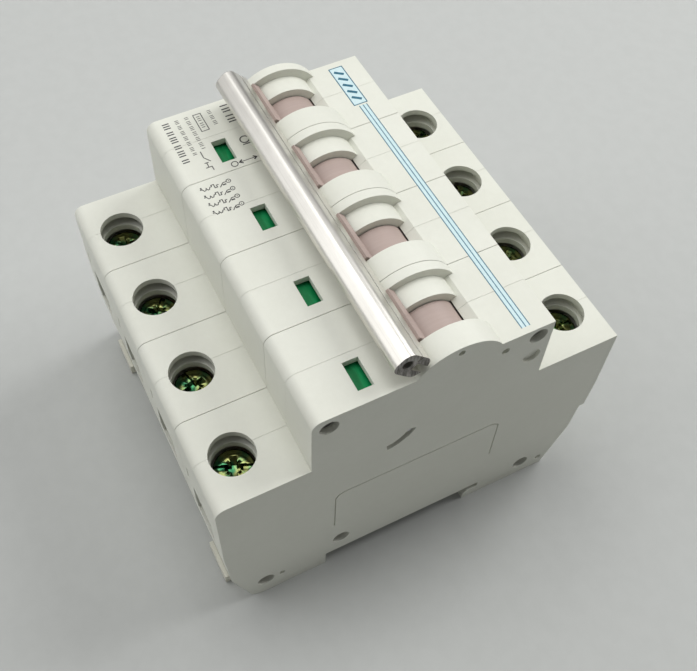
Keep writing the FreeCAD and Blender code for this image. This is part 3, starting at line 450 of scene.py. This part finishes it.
bobbin_plastic = moulded("bobbin_plastic", (0.035, 0.035, 0.038, 1), (0.022, 0.022, 0.024, 1), 0.36,
                         0.008 * MM, 0.1 * MM)
dress(bobbin_plastic, "coil_bobbins")
pressed_fibre = moulded("pressed_fibre", (0.33, 0.10, 0.06, 1), (0.22, 0.06, 0.035, 1), 0.62,
                        0.030 * MM, 0.1 * MM)
dress(pressed_fibre, "arc_frames", "trip_levers")

# ------------------------------------------------------------------ printed marks
# The nose is pad printed: three teal lines with pale blue beside them, a hatched plate,
# and black symbols. All the marks are plain symbols, and the ink stands a little proud.


def face_height(name, low_y, high_y):
    """Height of a node's highest point between two Y planes."""
    return max(v.co.z for v in nodes[name].data.vertices if low_y <= v.co.y <= high_y)


INK_THICK = 0.015 * MM
MITRE_LIMIT = 0.35
nose_top = face_height("case_cover_1", 19 * MM, 30 * MM)


def ink(name, colour, speckle):
    """Printing ink: slightly uneven, with pinholes and a low sheen."""
    material, place = new_material(name)
    mottle = noise(place, 1500.0, 3.0)
    tone = mottle.ramp(0.3, 0.75).blend(colour, speckle)
    return finish(place, material, Base_Color=tone, Roughness=0.38 + mottle * 0.15,
                  Normal=bump(mottle, 0.004 * MM, 0.4))


def stroke(points, width, closed=False, rise=INK_THICK):
    """A printed line through points given in millimetres, mitred at its corners."""
    line = bmesh.new()
    count = len(points)
    spots = [Vector(point) for point in points]
    sides = []
    for k, here in enumerate(spots):
        before = spots[k - 1] if k or closed else None
        after = spots[(k + 1) % count] if k < count - 1 or closed else None
        runs = [(b - a).normalized() for a, b in ((before, here), (here, after)) if a and b]
        run = sum(runs, Vector((0, 0))).normalized()
        across = Vector((-run.y, run.x))
        reach = width / 2 / max(MITRE_LIMIT, across.dot(Vector((-runs[0].y, runs[0].x))))
        sides.append((here + across * reach, here - across * reach))
    made = [[line.verts.new((p.x * MM, p.y * MM, nose_top + z)) for p in pair for z in (0, rise)]
            for pair in sides]
    for k in range(count if closed else count - 1):
        a, b = made[k], made[(k + 1) % count]
        for first, second in ((1, 3), (2, 0), (0, 1), (3, 2)):
            line.faces.new((a[first], a[second], b[second], b[first]))
    if not closed:
        line.faces.new((made[0][0], made[0][1], made[0][3], made[0][2]))
        line.faces.new((made[-1][2], made[-1][3], made[-1][1], made[-1][0]))
    bmesh.ops.recalc_face_normals(line, faces=line.faces)
    return line


def circle(x, y, radius, width, sides=20):
    """A printed ring."""
    ring = [(x + radius * math.cos(math.tau * k / sides), y + radius * math.sin(math.tau * k / sides))
            for k in range(sides)]
    return stroke(ring, width, closed=True)


def frame_line(x0, y0, x1, y1, width):
    """A printed rectangle, as a line round its edge."""
    return stroke([(x0, y0), (x1, y0), (x1, y1), (x0, y1)], width, closed=True)


def print_on(name, marks, material):
    """One ink's marks as a piece that stays on the case."""
    made = joined(name, marks)
    made.data.materials.append(material)
    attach(made, "case")


LINES_Y = (16.72, 17.5, 18.28)
LINE_START, LINE_END, LINE_WIDE = -22.8, 34.7, 0.17
PALE_RISE = 0.5 * INK_THICK
teal_ink = ink("teal_ink", (0.012, 0.105, 0.165, 1), (0.02, 0.16, 0.24, 1))
sky_ink = ink("sky_ink", (0.56, 0.73, 0.76, 1), (0.62, 0.76, 0.78, 1))
black_ink = ink("black_ink", (0.020, 0.020, 0.022, 1), (0.045, 0.045, 0.045, 1))
print_on("printed_lines", [stroke([(LINE_START, y), (LINE_END, y)], LINE_WIDE) for y in LINES_Y], teal_ink)
plate = [frame_line(-34.4, 15.9, -23.3, 18.7, 0.2)]
plate += [stroke([(x - 0.6, 16.5), (x + 0.6, 18.1)], 0.62) for x in (-32.7, -30.8, -28.85, -26.9, -25.0)]
print_on("printed_plate", plate, teal_ink)
pale = []
for low, high in zip(LINES_Y, LINES_Y[1:]):
    between = (low + high) / 2
    pale.append(stroke([(LINE_START, between), (LINE_END, between)], high - low - LINE_WIDE, rise=PALE_RISE))
pale += [stroke([(-34.3, 17.3), (-23.4, 17.3)], 2.6, rise=PALE_RISE)]
print_on("printed_pale_areas", pale, sky_ink)


def tick_row(start, end, y, height, width, gaps):
    """A row of plain ticks, spaced unevenly, where a rating plate would have print."""
    marks, x, k = [], start, 0
    while x < end:
        marks.append(stroke([(x, y - height / 2), (x, y + height / 2)], width))
        x += gaps[k % len(gaps)]
        k += 1
    return marks


symbols = tick_row(-34.3, -22.6, -18.8, 1.35, 0.26, (0.62, 0.62, 1.15, 0.62, 0.9))
symbols += tick_row(-34.3, -24.5, -16.6, 0.75, 0.14, (0.4, 0.4, 0.75))
symbols += tick_row(-34.3, -25.2, -14.6, 0.75, 0.14, (0.42, 0.7, 0.42))
symbols += [frame_line(-34.3, -13.2, -29.6, -11.7, 0.16)]
symbols += tick_row(-33.6, -30.1, -12.45, 0.7, 0.14, (0.55, 0.55, 0.8))
symbols += tick_row(-34.3, -29.9, -10.0, 0.75, 0.14, (0.42, 0.42, 0.7))
symbols += tick_row(-34.3, -28.6, -6.8, 1.7, 0.28, (0.95, 0.7, 1.3))
symbols += [circle(-24.3, -6.8, 0.85, 0.24), stroke([(-23.1, -7.6), (-23.1, -6.0)], 0.24)]
symbols += [circle(-19.3, -10.95, 0.62, 0.17)]
symbols += [stroke([(-19.3, -9.9), (-19.3, -6.6)], 0.15),
            stroke([(-19.75, -9.35), (-19.3, -9.95), (-18.85, -9.35)], 0.26),
            stroke([(-19.75, -7.15), (-19.3, -6.55), (-18.85, -7.15)], 0.26)]
symbols += [stroke([(-24.9, -15.5), (-23.2, -15.5), (-21.9, -14.6)], 0.17),
            stroke([(-21.8, -15.5), (-20.6, -15.5)], 0.17),
            stroke([(-21.8, -15.9), (-21.8, -15.1)], 0.17),
            stroke([(-20.6, -16.1), (-20.6, -14.9), (-19.6, -14.9)], 0.17)]
for row in range(4):
    x = -16.0 + 2.0 * row
    symbols += [circle(x, -13.65, 0.42, 0.15, 14), stroke([(x - 0.12, -13.65), (x + 0.12, -13.65)], 0.15),
                stroke([(x, -14.15), (x, -14.75), (x + 0.85, -15.55)], 0.17),
                stroke([(x + 0.5, -14.25), (x + 0.5, -14.95)], 0.30),
                stroke([(x, -15.6), (x, -16.0), (x + 0.55, -16.0), (x + 0.55, -16.45), (x - 0.35, -16.45),
                        (x - 0.35, -16.95), (x, -16.95), (x, -17.3)], 0.17),
                stroke([(x, -17.3), (x + 0.45, -17.5), (x + 0.5, -17.8), (x, -18.0), (x + 0.45, -18.2),
                        (x + 0.5, -18.5), (x, -18.75), (x, -19.2)], 0.16),
                stroke([(x - 0.55, -18.9), (x - 0.15, -18.9)], 0.3)]
print_on("printed_symbols", symbols, black_ink)

# ------------------------------------------------------------------ floor, light and camera
# The breaker lies on a plain pale grey sheet. The light is mostly from behind and above,
# with weak fills in front, so the shadows are soft and the near side is in shade.

bpy.ops.mesh.primitive_plane_add(size=3.0)
floor = bpy.context.object
floor.name = "floor"
sheet_grey, spot = new_material("floor_sheet")
fibre = noise(spot, 260.0, 4.0)
SHEET_DARK, SHEET_PALE = (0.475, 0.487, 0.472, 1), (0.490, 0.502, 0.487, 1)
finish(spot, sheet_grey, Base_Color=fibre.ramp(0.3, 0.7).blend(SHEET_DARK, SHEET_PALE),
       Roughness=0.82 + fibre * 0.1, Normal=bump(fibre, 0.02 * MM, 0.3))
floor.data.materials.append(sheet_grey)


LIT_POINT = Vector((0, 0, 0.03))


def softbox(name, place, wide, tall, power):
    """A white rectangle of light that faces the breaker, in metres and watts."""
    lamp = bpy.data.lights.new(name, "AREA")
    lamp.shape, lamp.size, lamp.size_y = "RECTANGLE", wide, tall
    lamp.energy = power
    box = bpy.data.objects.new(name, lamp)
    box.location = place
    box.rotation_mode = "QUATERNION"
    box.rotation_quaternion = (LIT_POINT - Vector(place)).to_track_quat("-Z", "Y")
    bpy.context.collection.objects.link(box)


softbox("window", (-0.38, -0.12, 0.62), 0.60, 0.45, 0.62)
softbox("window_top", (-0.22, -0.05, 0.85), 0.40, 0.40, 1.05)
softbox("overhead", (-0.10, 0.05, 0.90), 0.35, 0.35, 1.00)
softbox("front_top", (-0.15, -0.45, 0.70), 0.40, 0.40, 0.95)
softbox("front", (-0.22, -0.64, 0.36), 0.50, 0.50, 1.00)
softbox("back", (-0.05, 0.60, 0.55), 0.50, 0.50, 3.85)
softbox("back_low", (0.0, 0.70, 0.50), 0.60, 0.50, 0.28)
softbox("wall_front", (-0.62, -0.42, 0.30), 0.60, 0.50, 0.38)
softbox("wall_back", (-0.60, 0.20, 0.55), 0.60, 0.60, 0.45)
world = bpy.data.worlds.new("room")
world.use_nodes = True
room_light = world.node_tree.nodes["Background"]
room_light.inputs["Color"].default_value = (1.0, 1.0, 1.0, 1)
room_light.inputs["Strength"].default_value = 0.180
bpy.context.scene.world = world
bpy.context.scene.view_settings.view_transform = "Standard"

lens = bpy.data.cameras.new("camera")
lens.sensor_width, lens.lens = 36.0, 52.155
lens.shift_x, lens.shift_y = 0.0400, -0.0440
lens.clip_start, lens.clip_end = 0.01, 10.0
camera = bpy.data.objects.new("camera", lens)
camera.location = (0.102332, -0.054578, 0.196250)
camera.rotation_mode = "QUATERNION"
camera.rotation_quaternion = (0.808736, 0.259307, 0.156763, 0.504114)
bpy.context.collection.objects.link(camera)
bpy.context.scene.camera = camera
